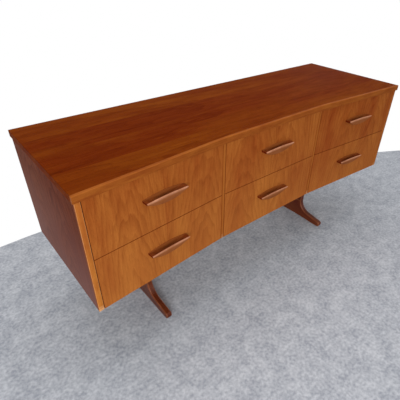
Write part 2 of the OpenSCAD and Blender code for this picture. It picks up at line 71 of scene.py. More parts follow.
def maths(tree, operation, *values, clamp=False):
    """A Math node's output."""
    inputs = dict(enumerate(values))
    return add(tree, "ShaderNodeMath", inputs, operation=operation, use_clamp=clamp).outputs[0]


def swayed(tree, value, mask, middle, strength, clamp=False):
    """A value moved up or down by how far a mask strays from its middle."""
    stray = maths(tree, "SUBTRACT", mask, middle)
    return maths(tree, "MULTIPLY_ADD", stray, strength, value, clamp=clamp)


def spread(tree, value, low, high, start=0.0, end=1.0):
    """A value that runs from low to high, as one that runs from start to end and no further."""
    return add(tree, "ShaderNodeMapRange", {0: value, 1: low, 2: high, 3: start, 4: end}).outputs[0]


def vector(tree, x=0.0, y=0.0, z=0.0):
    """Three values as one vector."""
    return add(tree, "ShaderNodeCombineXYZ", {0: x, 1: y, 2: z}).outputs[0]


def mixed(tree, share, first, second, blend="MIX"):
    """A colour Mix node's output."""
    inputs = {0: share, 6: first, 7: second}
    return add(tree, "ShaderNodeMix", inputs, data_type="RGBA", blend_type=blend).outputs[2]


def noise(tree, place, scale, detail=2.0, roughness=0.5):
    """A noise's height from 0 to 1; its scale is in lumps to the metre."""
    return add(tree, "ShaderNodeTexNoise", {
        "Vector": place, "Scale": scale, "Detail": detail, "Roughness": roughness}).outputs["Fac"]


def drawn_noise(tree, place, across, along, detail=2.0, roughness=0.5):
    """Noise drawn out along the grain, which runs along the third axis."""
    scaled = add(tree, "ShaderNodeMapping", {"Vector": place, "Scale": (across, across, along)})
    return noise(tree, scaled.outputs[0], 1.0, detail, roughness)


def node_group(name, kind_of_tree, inputs, outputs):
    """An empty node group with inputs, as (name, kind, starting value), and outputs."""
    group = bpy.data.node_groups.new(name, kind_of_tree)
    for label, kind, value in inputs:
        socket = group.interface.new_socket(name=label, in_out="INPUT", socket_type=f"NodeSocket{kind}")
        if value is not None:
            socket.default_value = value
    for label, kind in outputs:
        group.interface.new_socket(name=label, in_out="OUTPUT", socket_type=f"NodeSocket{kind}")
    return group


def sawn_wood_group():
    """Wood sliced from a log: growth rings cut into arches or lines, fibres, streaks and pores.

    The grain runs along the third axis of Place, which is in metres; the first axis goes
    across the face and the second into it. Each leaf of veneer has its own place in the log.
    """
    inputs = (
        ("Place", "Vector", None),
        ("Pale", "Color", stain(180, 108, 45)),
        ("Dark", "Color", stain(130, 68, 24)),
        ("Vein", "Color", stain(70, 30, 10)),
        ("Flush", "Color", stain(213, 174, 190)),
        ("Flushed", "Float", 0.5),
        ("Leaf Width", "Float", 0.25),
        ("Leaf Seed", "Float", 0.0),
        ("Leaf Change", "Float", 0.3),
        ("Pith Depth", "Float", 0.05),
        ("Pith Tilt", "Float", 0.15),
        ("Ring Width", "Float", 0.012),
        ("Rings", "Float", 0.3),
        ("Fibres", "Float", 0.3),
        ("Streaks", "Float", 0.3),
        ("Mottle", "Float", 0.3),
        ("Pores", "Float", 0.3),
        ("Wander", "Float", 0.01),
        ("Bloom", "Float", 0.0),
        ("Bloom Colour", "Color", stain(166, 138, 136)),
        ("Bloom Height", "Float", 0.4),
        ("Smooth", "Float", 0.4),
        ("Coarse", "Float", 0.6),
    )
    outputs = (("Colour", "Color"), ("Roughness", "Float"), ("Height", "Float"))
    group = node_group("sawn wood", "ShaderNodeTree", inputs, outputs)
    given = add(group, "NodeGroupInput").outputs
    across, depth, along = add(group, "ShaderNodeSeparateXYZ", {0: given["Place"]}).outputs

    # Which leaf a point is in, and what is chosen at random for that leaf: where its middle
    # lies from the pith, how far down the log it was cut, and how red it is
    leaf = maths(group, "FLOOR", maths(group, "DIVIDE", across, given["Leaf Width"]))
    number = maths(group, "ADD", leaf, given["Leaf Seed"])
    chance = add(group, "ShaderNodeTexWhiteNoise", {"W": number}, noise_dimensions="1D").outputs["Color"]
    sideways_luck, down_luck, red_luck = add(group, "ShaderNodeSeparateColor", {0: chance}).outputs
    middle = maths(group, "MULTIPLY", maths(group, "ADD", leaf, 0.5), given["Leaf Width"])
    pith_range = maths(group, "MULTIPLY", given["Leaf Width"], 0.8)
    off_pith = maths(group, "MULTIPLY", maths(group, "SUBTRACT", sideways_luck, 0.5), pith_range)
    log_length = 7.0
    down_log = maths(group, "MULTIPLY_ADD", down_luck, log_length, along)

    # The trunk's slow bends carry everything sideways; the rings shiver more finely
    bend = drawn_noise(group, vector(group, across, depth, down_log), across=6.0, along=2.2, detail=1.0)
    bend_range = maths(group, "MULTIPLY", given["Wander"], 4.0)
    swerve = maths(group, "MULTIPLY", maths(group, "SUBTRACT", bend, 0.5), bend_range)
    bent = maths(group, "ADD", across, swerve)
    moved = vector(group, bent, depth, down_log)
    shiver = drawn_noise(group, moved, across=34.0, along=7.0)

    # Distance from the pith, and the rings that it crosses; some years' rings are darker
    sideways = maths(group, "SUBTRACT", maths(group, "SUBTRACT", bent, middle), off_pith)
    below = maths(group, "MULTIPLY_ADD", along, given["Pith Tilt"], given["Pith Depth"])
    inwards = maths(group, "ADD", below, depth)
    inwards_squared = maths(group, "MULTIPLY", inwards, inwards)
    radius = maths(group, "SQRT", maths(group, "MULTIPLY_ADD", sideways, sideways, inwards_squared))
    radius = swayed(group, radius, shiver, 0.5, maths(group, "MULTIPLY", given["Ring Width"], 2.2))
    count = maths(group, "DIVIDE", radius, given["Ring Width"])
    within = maths(group, "FRACT", count)
    sudden_end = maths(group, "MULTIPLY", maths(group, "SUBTRACT", 1.0, within), 7.0)
    late_wood = maths(group, "MINIMUM", maths(group, "POWER", within, 1.8), sudden_end)
    whole = maths(group, "FLOOR", count)
    year = add(group, "ShaderNodeTexWhiteNoise", {"W": whole}, noise_dimensions="1D").outputs["Value"]
    ring = maths(group, "MULTIPLY", late_wood, maths(group, "MULTIPLY_ADD", year, 0.8, 0.35))

    fibre = drawn_noise(group, moved, across=1000.0, along=16.0, roughness=0.6)
    strand = drawn_noise(group, moved, across=260.0, along=6.0, detail=3.0, roughness=0.65)
    streak = drawn_noise(group, moved, across=42.0, along=1.3, detail=3.0)
    broad = drawn_noise(group, moved, across=8.0, along=2.0)
    mottle = drawn_noise(group, moved, across=38.0, along=13.0, detail=3.0, roughness=0.6)
    pore = drawn_noise(group, moved, across=1600.0, along=80.0, detail=1.0)
    pore = spread(group, pore, 0.60, 0.74)

    # How dark the wood is between its pale and its dark, and the veins and pores on it
    tone = maths(group, "MULTIPLY", ring, given["Rings"])
    thread = maths(group, "MULTIPLY_ADD", fibre, 0.5, strand)
    tone = swayed(group, tone, thread, 0.75, maths(group, "MULTIPLY", given["Fibres"], 1.4))
    tone = swayed(group, tone, streak, 0.45, maths(group, "MULTIPLY", given["Streaks"], 2.4))
    tone = swayed(group, tone, mottle, 0.5, given["Mottle"])
    tone = maths(group, "ADD", tone, 0.28, clamp=True)
    colour = mixed(group, tone, given["Pale"], given["Dark"])
    vein = maths(group, "MULTIPLY", spread(group, streak, 0.58, 0.76), given["Streaks"])
    mark = maths(group, "MAXIMUM", vein, maths(group, "MULTIPLY", pore, given["Pores"]), clamp=True)
    colour = mixed(group, mark, colour, given["Vein"])

    # Heartwood comes in broad redder bands, and some leaves have more of it
    leaf_range = maths(group, "MULTIPLY", given["Leaf Change"], 2.0)
    share = swayed(group, given["Flushed"], red_luck, 0.5, leaf_range)
    share = maths(group, "ADD", share, spread(group, broad, 0.3, 0.7, start=-0.4, end=0.4))
    mottle_range = maths(group, "MULTIPLY", given["Mottle"], 5.0)
    share = swayed(group, share, mottle, 0.5, mottle_range, clamp=True)
    flush = mixed(group, share, (1, 1, 1, 1), given["Flush"])
    colour = mixed(group, 1.0, colour, flush, blend="MULTIPLY")

    # Painted reflection and bounce light from the floor: an upright face is paler towards its foot
    bloom = maths(group, "DIVIDE", along, given["Bloom Height"])
    bloom = maths(group, "SUBTRACT", 1.0, bloom, clamp=True)
    bloom = maths(group, "MULTIPLY", bloom, given["Bloom"])
    bloom = maths(group, "MULTIPLY", bloom, maths(group, "MULTIPLY_ADD", broad, 0.5, 0.75))
    colour = mixed(group, bloom, colour, given["Bloom Colour"])

    # Dark wood and open pores are duller, and the pores and late wood lie lower
    dull = maths(group, "MULTIPLY_ADD", pore, 0.5, maths(group, "MULTIPLY", tone, 0.5), clamp=True)
    rough = spread(group, dull, 0.0, 1.0, start=given["Smooth"], end=given["Coarse"])
    height = maths(group, "MULTIPLY_ADD", pore, -0.8, maths(group, "MULTIPLY", fibre, 0.35))
    height = maths(group, "MULTIPLY_ADD", ring, -0.15, height)
    add(group, "NodeGroupOutput", {"Colour": colour, "Roughness": rough, "Height": height})
    return group


def wear_and_light_group():
    """What use, wax and painted light and shade do to an edge.

    Arris is the share of it that is rubbed: the polish there has thinned, and the wood is
    paler and duller; on the handles' lips, the legs and the top's lipping this paleness also
    stands for a painted highlight. The other share is darkened by wax and dust, and as
    painted shade in the gaps between parts, in the handles' scoops and on their end faces.
    """
    inputs = (
        ("Colour", "Color", None),
        ("Roughness", "Float", 0.4),
        ("Arris", "Float", 0.0),
        ("Bare", "Color", stain(200, 150, 100)),
        ("Wear", "Float", 0.5),
        ("Wax And Shade", "Float", 0.0),
        ("Waxed", "Color", stain(86, 29, 8)),
    )
    outputs = (("Colour", "Color"), ("Roughness", "Float"))
    group = node_group("wear and painted light", "ShaderNodeTree", inputs, outputs)
    given = add(group, "NodeGroupInput").outputs
    spot = add(group, "ShaderNodeTexCoord").outputs["Object"]
    patchy = spread(group, noise(group, spot, 38.0, detail=4.0), 0.35, 0.65, start=0.5)
    rubbed = maths(group, "MULTIPLY", maths(group, "MULTIPLY", given["Arris"], given["Wear"]), patchy)
    colour = mixed(group, rubbed, given["Colour"], given["Bare"])
    colour = mixed(group, given["Wax And Shade"], colour, given["Waxed"])
    rough = maths(group, "MULTIPLY_ADD", rubbed, 0.15, given["Roughness"])
    add(group, "NodeGroupOutput", {"Colour": colour, "Roughness": rough})
    return group


def new_material(name):
    """A material with an empty node tree."""
    material = bpy.data.materials.new(name)
    material.use_nodes = True
    material.node_tree.nodes.clear()
    return material


def surface(material, inputs):
    """Gives a material its surface, and hands the material back."""
    shader = add(material.node_tree, "ShaderNodeBsdfPrincipled", inputs)
    add(material.node_tree, "ShaderNodeOutputMaterial", {"Surface": shader.outputs[0]})
    return material


SAWN_WOOD = sawn_wood_group()
WEAR_AND_LIGHT = wear_and_light_group()
# Rows that turn the object's axes to across, into and along the grain
ALONG_X = ((0, 1, 0), (0, 0, 1), (1, 0, 0))
ALONG_X_UPRIGHT = ((0, 0, 1), (0, -1, 0), (1, 0, 0))
ALONG_Y = ((0, 0, 1), (1, 0, 0), (0, 1, 0))
ALONG_Z = ((1, 0, 0), (0, 1, 0), (0, 0, 1))
ALONG_Z_SIDE = ((0, 1, 0), (-1, 0, 0), (0, 0, 1))


def wood(name, grain, shift=(0, 0, 0), wear=0.5, bare=stain(205, 150, 95), waxed=stain(86, 29, 8),
         gloss=0.25, relief=0.25, **looks):
    """A finished wood. Looks are the sawn wood's own values, spelt with underscores."""
    material = new_material(name)
    tree = material.node_tree
    spot = add(tree, "ShaderNodeTexCoord").outputs["Object"]
    place = add(tree, "ShaderNodeMapping", {
        "Vector": spot, "Location": shift, "Rotation": Matrix(grain).to_euler()}).outputs[0]
    sawn_inputs = {look.replace("_", " ").title(): value for look, value in looks.items()}
    sawn_inputs["Place"] = place
    sawn = add(tree, "ShaderNodeGroup", sawn_inputs, node_tree=SAWN_WOOD).outputs
    arris = add(tree, "ShaderNodeAttribute", attribute_name="arris").outputs["Fac"]
    joint = add(tree, "ShaderNodeAttribute", attribute_name="joint").outputs["Fac"]
    worn_and_lit = add(tree, "ShaderNodeGroup", {
        "Colour": sawn["Colour"], "Roughness": sawn["Roughness"], "Arris": arris, "Bare": bare,
        "Wear": wear, "Wax And Shade": joint, "Waxed": waxed}, node_tree=WEAR_AND_LIGHT).outputs
    bump = add(tree, "ShaderNodeBump", {
        "Height": sawn["Height"], "Strength": relief, "Distance": 0.0004}).outputs[0]
    return surface(material, {
        "Base Color": worn_and_lit["Colour"], "Roughness": worn_and_lit["Roughness"],
        "Specular IOR Level": gloss, "Normal": bump})


LEFT = Vector((-1, 0, 0))
RIGHT = Vector((1, 0, 0))
FRONT = Vector((0, -1, 0))
BACK = Vector((0, 1, 0))
UP = Vector((0, 0, 1))
DOWN = Vector((0, 0, -1))


def looks_towards(face, ways, least_cosine):
    """Whether a face looks nearly one of some ways."""
    return any(face.normal.dot(way) > least_cosine for way in ways)


def mask(shape, faces, **shares):
    """Sets the shares of some faces that are rubbed pale, partly as painted highlight, or darkened by wax and
    painted shade.
    """
    for name, share in shares.items():
        layer = shape.faces.layers.float[name]
        for face in faces:
            face[layer] = share


def merged(node):
    """A copy of a CAD node as a bmesh, its loose triangles merged into whole flat faces."""
    shape = bmesh.new()
    shape.from_mesh(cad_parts[node].data)
    bmesh.ops.remove_doubles(shape, verts=shape.verts, dist=2e-6)
    bmesh.ops.dissolve_limit(shape, angle_limit=math.radians(0.3), verts=shape.verts, edges=shape.edges)
    return shape


def eased(node, radius, towards, shortest, steps=2, dark=()):
    """A copy of a CAD node as a bmesh, with some of its edges rounded over.

    They are the sharp edges, down to the shortest length, of the faces that look one of the
    given ways. Faces that look one of the dark ways lie between parts, and so does the nearest
    step of a round beside them; both are darkened, partly by wax and partly as painted shade.
    """
    shape = merged(node)
    shape.faces.layers.float.new("arris")
    shape.faces.layers.float.new("joint")
    bmesh.ops.recalc_face_normals(shape, faces=shape.faces)
    chosen = []
    for edge in shape.edges:
        if len(edge.link_faces) != 2 or edge.calc_length() < shortest or not edge.is_convex:
            continue
        if edge.calc_face_angle() < math.radians(50):
            continue
        if any(looks_towards(face, towards, least_cosine=0.95) for face in edge.link_faces):
            chosen.append(edge)
    rounded = bmesh.ops.bevel(shape, geom=chosen, offset=radius, offset_type="OFFSET", segments=steps,
                              profile=0.5, affect="EDGES", clamp_overlap=False)
    mask(shape, rounded["faces"], arris=1.0)
    # Painted shade, with wax: faces that look into the gaps between parts are darkened
    in_joint = [face for face in shape.faces if looks_towards(face, dark, least_cosine=0.9)]
    mask(shape, in_joint, joint=0.75)
    return shape


def make_piece(name, shape, material, body, node):
    """Turns a bmesh into a piece that rides on a body and stands for a CAD node."""
    mesh = bpy.data.meshes.new(name)
    shape.to_mesh(mesh)
    shape.free()
    mesh.shade_smooth()
    mesh.set_sharp_from_angle(angle=math.radians(35))
    mesh.materials.append(material)
    piece = bpy.data.objects.new(name, mesh)
    bpy.context.collection.objects.link(piece)
    even = piece.modifiers.new("even", "WEIGHTED_NORMAL")
    even.keep_sharp = True
    ready = bpy.data.meshes.new_from_object(piece.evaluated_get(bpy.context.evaluated_depsgraph_get()))
    piece.modifiers.remove(even)
    piece.data = ready
    bpy.data.meshes.remove(mesh)
    ready.name = name
    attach(piece, body)
    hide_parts(node)


top_teak = wood(
    "top teak", ALONG_X, shift=(0, -0.725, 0.3), wear=0.6, bare=stain(74, 28, 8), gloss=0.002, relief=0.2,
    pale=stain(134, 68, 14), dark=stain(104, 44, 8), vein=stain(62, 22, 4), flush=stain(214, 172, 190),
    flushed=0.6, leaf_width=0.125, leaf_seed=3.0, leaf_change=0.28, pith_depth=0.3, pith_tilt=0.02,
    ring_width=0.008, rings=0.5, fibres=0.8, streaks=0.3, mottle=0.16, pores=0.9, wander=0.022,
    smooth=0.42, coarse=0.6)
board = eased("top_panel", radius=0.0008, towards=(LEFT, RIGHT, BACK), shortest=0.015)
make_piece("top_board", board, top_teak, "case", "top_panel")


# ---- Top lipping ------------------------------------------------------------
# Solid teak glued to the board's front edge and planed flush with it. The upper
# arris is rounded over in the hand, the lower one only taken off.

lip_teak = wood(
    "lipping teak", ALONG_X_UPRIGHT, shift=(-0.71, -0.25, 0.7), wear=0.35, bare=stain(166, 100, 46),
    gloss=0.01, relief=0.2, pale=stain(160, 90, 35), dark=stain(125, 62, 20), vein=stain(84, 36, 12),
    flushed=0.1, leaf_width=5.0, leaf_change=0.0, pith_depth=0.2, pith_tilt=0.02, ring_width=0.006,
    rings=0.3, fibres=0.45, streaks=0.4, pores=0.3, wander=0.006, smooth=0.4, coarse=0.56)
UPPER_ROUND = 0.0028
LOWER_ROUND = 0.0012


def front_line(node):
    """The front and back edges of a strip that follows the bent front: (x, front y, back y)."""
    corners = {}
    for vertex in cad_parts[node].data.vertices:
        x, y, _ = vertex.co
        near, far = corners.get(round(x, 5), (y, y))
        corners[round(x, 5)] = (min(near, y), max(far, y))
    return [(x, *corners[x]) for x in sorted(corners)]


def strip_section(near, far, low, high, steps=4):
    """Outline of the lipping in side view, from the lower back corner forwards and up."""
    points = [(far, low)]
    for centre_y, centre_z, radius, start in (
            (near + LOWER_ROUND, low + LOWER_ROUND, LOWER_ROUND, 270),
            (near + UPPER_ROUND, high - UPPER_ROUND, UPPER_ROUND, 180)):
        for step in range(steps + 1):
            turn = math.radians(start - 90 * step / steps)
            points.append((centre_y + radius * math.cos(turn), centre_z + radius * math.sin(turn)))
    points.append((far, high))
    return points


def skin(shape, rows):
    """Joins rows of points, each right round a section, and closes the first and the last."""
    for left, right in zip(rows, rows[1:]):
        for index in range(len(left)):
            after = (index + 1) % len(left)
            shape.faces.new((left[index], right[index], right[after], left[after]))
    shape.faces.new(rows[0])
    shape.faces.new(reversed(rows[-1]))


def top_lipping():
    """The lipping along the bent front, with its upper round rubbed pale, partly a painted highlight."""
    low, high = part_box("top_lipping")
    shape = bmesh.new()
    shape.faces.layers.float.new("arris")
    rows = []
    for x, near, far in front_line("top_lipping"):
        rows.append([shape.verts.new((x, y, z)) for y, z in strip_section(near, far, low[2], high[2])])
    skin(shape, rows)
    bmesh.ops.recalc_face_normals(shape, faces=shape.faces)
    upper_round = [face for face in shape.faces if 0.2 < face.normal.z < 0.97 and face.normal.y < -0.1]
    mask(shape, upper_round, arris=1.0)
    return shape


make_piece("top_edge", top_lipping(), lip_teak, "case", "top_lipping")


# ---- Ends, dividers and their lippings ---------------------------------------
# The ends are veneered boards with upright grain, darker and greyer than the fronts as
# painted shade, and the dividers are plain boards of the same pale wood as the drawers'
# boxes. Strips of solid teak, kept pale by handling, are glued on all their front edges.

# Painted shade and reflection: the ends are darker and greyer than the fronts, and paler towards the foot
shaded_end_teak = wood(
    "shaded end teak", ALONG_Z_SIDE, shift=(0, -0.76, -0.3), wear=0.3, gloss=0.006, relief=0.2,
    pale=stain(121, 61, 34), dark=stain(76, 33, 19), vein=stain(46, 18, 10), flush=stain(226, 200, 205),
    flushed=0.4, leaf_width=0.25, leaf_seed=11.0, leaf_change=0.12, pith_depth=0.06, pith_tilt=0.2,
    ring_width=0.012, rings=0.5, fibres=0.6, streaks=0.25, mottle=0.1, pores=0.5, wander=0.01,
    bloom=0.3, bloom_colour=stain(176, 142, 138), bloom_height=0.36, smooth=0.45, coarse=0.6)
EDGE_WAX_AND_SHADE = stain(120, 48, 10)
edge_teak = wood(
    "edge teak", ALONG_Z, shift=(0, 0.24, 0), wear=0.5, bare=stain(234, 180, 128), waxed=EDGE_WAX_AND_SHADE,
    gloss=0.02, pale=stain(204, 130, 58), dark=stain(164, 94, 34), vein=stain(104, 50, 16), flushed=0.2,
    leaf_width=5.0, leaf_change=0.0, pith_depth=0.15, pith_tilt=0.02, ring_width=0.004,
    rings=0.3, fibres=0.45, streaks=0.3, pores=0.3, wander=0.004, smooth=0.42, coarse=0.58)
drawer_wood = wood(
    "drawer wood", ALONG_Y, wear=0.3, bare=stain(225, 200, 160), gloss=0.12, relief=0.35,
    pale=stain(205, 172, 126), dark=stain(176, 136, 90), vein=stain(140, 100, 60),
    flush=stain(244, 228, 214), flushed=0.3, leaf_width=5.0, leaf_change=0.0, pith_depth=0.1,
    pith_tilt=0.02, ring_width=0.006, rings=0.3, fibres=0.4, streaks=0.25, pores=0.35, wander=0.006,
    smooth=0.5, coarse=0.7)

for side, outwards in (("left", LEFT), ("right", RIGHT)):
    panel = eased(f"{side}_end_panel", radius=0.0008, towards=(outwards,), shortest=0.05)
    make_piece(f"{side}_end_board", panel, shaded_end_teak, "case", f"{side}_end_panel")
    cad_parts[f"{side}_divider"].data.materials[0] = drawer_wood


def front_strips():
    """The strips on the front edges of the ends and dividers.

    The inner ones are darker, and the right end's strip a little; where the inner ones are
    rounded over beside the gaps they are darker still, as painted shade, and so are their side
    faces in the gaps. Their lower tips are rubbed bare.
    """
    between_end_and_divider = 0.5
    # (height above their lower ends, share that is rubbed); 2 leaves hardly any polish
    tip_wear = ((0.018, 0.8), (0.008, 2.0))
    shape = eased("front_lippings", radius=0.0014, towards=(FRONT,), shortest=0.05, dark=(LEFT, RIGHT))
    arris = shape.faces.layers.float["arris"]
    forward = [face for face in shape.faces if face.normal.y < -0.2]
    right_end = [face for face in forward if face.calc_center_median().x > between_end_and_divider]
    inner = [face for face in forward if abs(face.calc_center_median().x) < between_end_and_divider]
    inner_rounds = [face for face in inner if face[arris]]
    mask(shape, right_end, joint=0.45, arris=0.0)
    mask(shape, inner, joint=0.5, arris=0.0)
    mask(shape, inner_rounds, joint=0.8)
    lower_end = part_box("front_lippings")[0][2]
    for height, rubbed in tip_wear:
        cut = lower_end + height
        bmesh.ops.bisect_plane(shape, geom=shape.verts[:] + shape.edges[:] + shape.faces[:], dist=1e-6,
                               plane_co=(0, 0, cut), plane_no=UP)
        tips = [face for face in shape.faces if face.calc_center_median().z < cut and face.normal.y < -0.5]
        mask(shape, tips, arris=rubbed)
    return shape


make_piece("front_edges", front_strips(), edge_teak, "case", "front_lippings")


# ---- Carcase bottom, back and inner woodwork ----------------------------------
# A plain board below, a thin plywood panel screwed on behind, hardwood runners on
# the walls and beech dowels in the joints.

carcase_board = wood(
    "carcase board", ALONG_X, shift=(0.4, 0, 0), wear=0.2, gloss=0.15, relief=0.4,
    pale=stain(176, 134, 90), dark=stain(140, 100, 62), vein=stain(100, 66, 38),
    flush=stain(236, 216, 200), flushed=0.4,
    leaf_width=0.3, leaf_seed=5.0, leaf_change=0.3, pith_depth=0.1, pith_tilt=0.03, ring_width=0.01,
    rings=0.4, fibres=0.4, streaks=0.3, pores=0.3, wander=0.01, smooth=0.6, coarse=0.8)
plywood = wood(
    "plywood", ALONG_X_UPRIGHT, shift=(0.2, 0, 0), wear=0.2, gloss=0.15, relief=0.35,
    pale=stain(190, 146, 96), dark=stain(156, 110, 66), vein=stain(118, 78, 44),
    flush=stain(238, 220, 206), flushed=0.4,
    leaf_width=0.4, leaf_seed=2.0, leaf_change=0.3, pith_depth=0.06, pith_tilt=0.08, ring_width=0.014,
    rings=0.45, fibres=0.35, streaks=0.3, pores=0.25, wander=0.02, smooth=0.55, coarse=0.75)
for node, inner_wood in (
        ("bottom_panel", carcase_board),
        ("back_panel", plywood),
        ("drawer_runners", drawer_wood),
        ("dowels", drawer_wood)):
    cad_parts[node].data.materials[0] = inner_wood


# ---- Legs ---------------------------------------------------------------------
# Each leg is a solid foot, an upright plank and a bearer under the case, in a dark
# red-brown hardwood. The foot's outline is bandsawn, then rounded over by hand.

# The legs' rounded edges are paled by wear and, as painted highlight, by the light they catch.
LEG_LOOKS = dict(
    shift=(0.01, 0.3, 0), wear=0.4, bare=stain(164, 98, 62), gloss=0.2, relief=0.3,
    pale=stain(122, 62, 32), dark=stain(74, 31, 14), vein=stain(44, 18, 8),
    leaf_width=5.0, leaf_change=0.0, pith_depth=0.1, pith_tilt=0.05, ring_width=0.005,
    rings=0.4, fibres=0.5, streaks=0.4, pores=0.35, wander=0.006, smooth=0.26, coarse=0.42)
leg_wood = wood("leg wood", ALONG_Y, **LEG_LOOKS)
post_wood = wood("post wood", ALONG_Z, **LEG_LOOKS)
for side in ("left", "right"):
    for part, material, radius, shortest, steps in (
            ("foot", leg_wood, 0.005, 0.0, 3),
            ("post", post_wood, 0.003, 0.1, 3),
            ("bearer", leg_wood, 0.002, 0.01, 2)):
        shape = eased(f"{side}_leg_{part}", radius, (LEFT, RIGHT), shortest, steps)
        make_piece(f"{side}_{part}", shape, material, "case", f"{side}_leg_{part}")


# ---- Drawers ------------------------------------------------------------------
# Each front is veneered upright in crown-cut teak, with arches that run on from the
# upper drawer to the lower. Behind it is a box of pale wood, lap-dovetailed at the
# front and housed at the back, on a plywood base.

# Each drawer, with the share of redder heartwood in its front's veneer, raised in the upper row
# and towards the right bay as painted shade, where those fronts are darker
REDNESS_AND_SHADE = {
    ("upper", "left"): 0.38, ("upper", "middle"): 0.46, ("upper", "right"): 0.6,
    ("lower", "left"): 0.36, ("lower", "middle"): 0.36, ("lower", "right"): 0.44,
}
drawers = list(REDNESS_AND_SHADE)
# The fronts are painted paler towards their feet, standing for light bounced up from the floor
FRONT_LOOKS = dict(
    shift=(0, 0.225, -0.317), wear=0.4, bare=stain(205, 140, 80), waxed=EDGE_WAX_AND_SHADE, gloss=0.01, relief=0.2,
    pale=stain(181, 108, 46), dark=stain(134, 67, 23), vein=stain(102, 47, 16), flush=stain(206, 156, 148),
    leaf_width=0.2485, leaf_seed=12.0, leaf_change=0.12, pith_depth=0.045, pith_tilt=0.16,
    ring_width=0.012, rings=0.46, fibres=0.6, streaks=0.06, mottle=0.16, pores=0.5, wander=0.016,
    bloom=0.14, bloom_colour=stain(226, 150, 78), bloom_height=0.38, smooth=0.42, coarse=0.58)
# The sides of each bay's boxes, from left to right
BOX_SIDES = {"left": ("outer", "inner"), "middle": ("left", "right"), "right": ("inner", "outer")}


def drawer_front(node):
    """A drawer's front, darkened with wax and painted shade in the gaps round it, and a little on its eased
    edges.
    """
    shape = eased(node, radius=0.0006, towards=(FRONT,), shortest=0.1, dark=(UP, DOWN, RIGHT, LEFT))
    arris = shape.faces.layers.float["arris"]
    mask(shape, [face for face in shape.faces if face[arris]], joint=0.5, arris=0.0)
    return shape


for row, bay in drawers:
    drawer = f"{row}_{bay}_drawer"
    teak = wood(f"{row} {bay} front teak", ALONG_Z, flushed=REDNESS_AND_SHADE[row, bay], **FRONT_LOOKS)
    front = drawer_front(f"{row}_{bay}_front")
    make_piece(f"{row}_{bay}_face", front, teak, drawer, f"{row}_{bay}_front")
    for side in BOX_SIDES[bay]:
        side_node = f"{row}_{bay}_{side}_side"
        cheek = eased(side_node, radius=0.0015, towards=(UP,), shortest=0.1)
        make_piece(f"{row}_{bay}_{side}_cheek", cheek, drawer_wood, drawer, side_node)
    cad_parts[f"{row}_{bay}_back"].data.materials[0] = drawer_wood
    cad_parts[f"{row}_{bay}_base"].data.materials[0] = plywood


# ---- Handles ------------------------------------------------------------------
# A leaf of dark hardwood, screwed on from inside the drawer. Its lip is a little arched
# and rubbed pale, which also paints the highlight it catches; behind the lip a groove takes
# the fingertips, and the belly is carved away below. The groove, the crevice at the back and
# the end faces are darkened as painted shade.

handle_wood = wood(
    "handle wood", ALONG_X_UPRIGHT, shift=(-0.5, -0.2, 0), wear=1.0, bare=stain(198, 140, 108),
    waxed=stain(98, 26, 4), gloss=0.005, relief=0.25, pale=stain(152, 88, 42), dark=stain(112, 52, 20),
    vein=stain(50, 16, 6), flushed=0.1, leaf_width=5.0, leaf_change=0.0, pith_depth=0.08,
    pith_tilt=0.04, ring_width=0.004, rings=0.3, fibres=0.45, streaks=0.3, pores=0.3, wander=0.004,
    smooth=0.36, coarse=0.5)
HALF_LENGTH = 0.074
# How far the back wall rises above the lip's level in the middle, and its thickness
RISE = 0.0075
BACK_WALL = 0.0025
# How far the lip stands out from the drawer, its thickness, and the height of its arch
REACH = 0.025
LIP = 0.004
LIP_ARCH = 0.003
# The belly's depth below the lip at the two ends, and how much more it has in the middle
END_DROP = 0.006
BELLY = 0.020
# How far back the belly's lower edge stands in the middle
RAKE = 0.004
# The scoop's depth, and how far from each end of the handle it starts
SCOOP = 0.013
SCOOP_IN = 0.010


def arc_depth(at, half_length, depth):
    """Depth of a circular arc that is 0 at its two ends and the given depth in the middle."""
    if abs(at) >= half_length:
        return 0.0
    radius = (half_length ** 2 + depth ** 2) / (2 * depth)
    return math.sqrt(radius ** 2 - at ** 2) - (radius - depth)


def corner(centre_out, centre_up, radius, start, end, worn_and_lit=0.0, wax_and_shade_share=0.0, steps=4):
    """Points round a corner, as (out from the drawer, up from the lip, how pale from wear and
    painted highlight, how dark from wax and painted shade).
    """
    points = []
    for step in range(steps + 1):
        turn = math.radians(start + (end - start) * step / steps)
        points.append((centre_out + radius * math.cos(turn), centre_up + radius * math.sin(turn), worn_and_lit, wax_and_shade_share))
    return points


